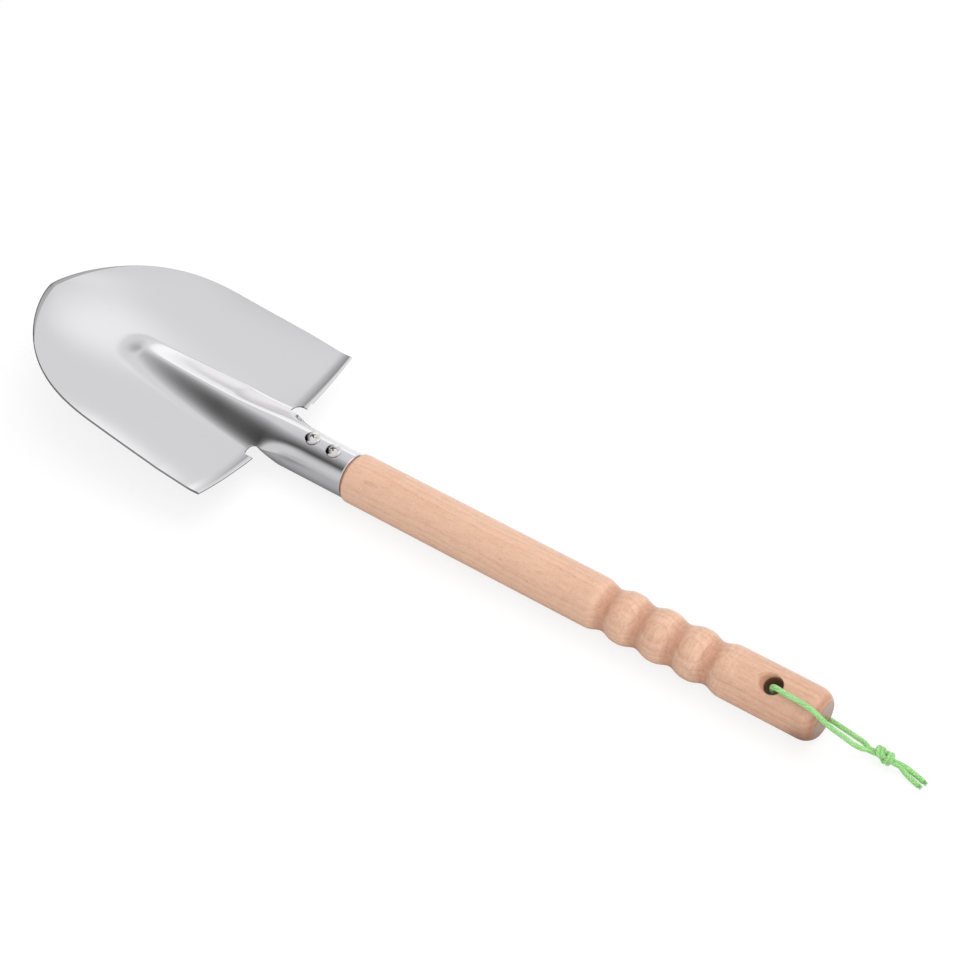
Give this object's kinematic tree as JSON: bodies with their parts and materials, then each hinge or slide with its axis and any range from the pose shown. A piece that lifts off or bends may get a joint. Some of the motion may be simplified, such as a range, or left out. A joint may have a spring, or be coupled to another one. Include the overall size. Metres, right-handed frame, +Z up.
{
  "type": "garden trowel",
  "caption": "Long-handled hand trowel: a pressed steel blade with a central rib and rolled socket, screwed to a turned wooden handle with finger grooves and a knotted hanging cord.",
  "frame": {"origin": "middle of the object's bounding box without the cord, on the surface it lies on", "axes": "+X along the handle towards the tip of the blade, +Y across the blade, +Z up with the hollow side of the blade up"},
  "size_m": [0.5384, 0.1252, 0.0428],
  "materials": {
    "pressed_steel": "polished stainless sheet with soft streaks",
    "beech": "smooth turned wood under a thin clear finish, pores open",
    "bright_steel": "bright plated screw heads",
    "green_braid": "braided synthetic cord"
  },
  "bodies": {
    "root": {"blade": "pressed_steel", "handle": "beech", "socket_screw_1": "bright_steel", "socket_screw_2": "bright_steel", "hanging_cord": "green_braid"}
  },
  "joints": []
}
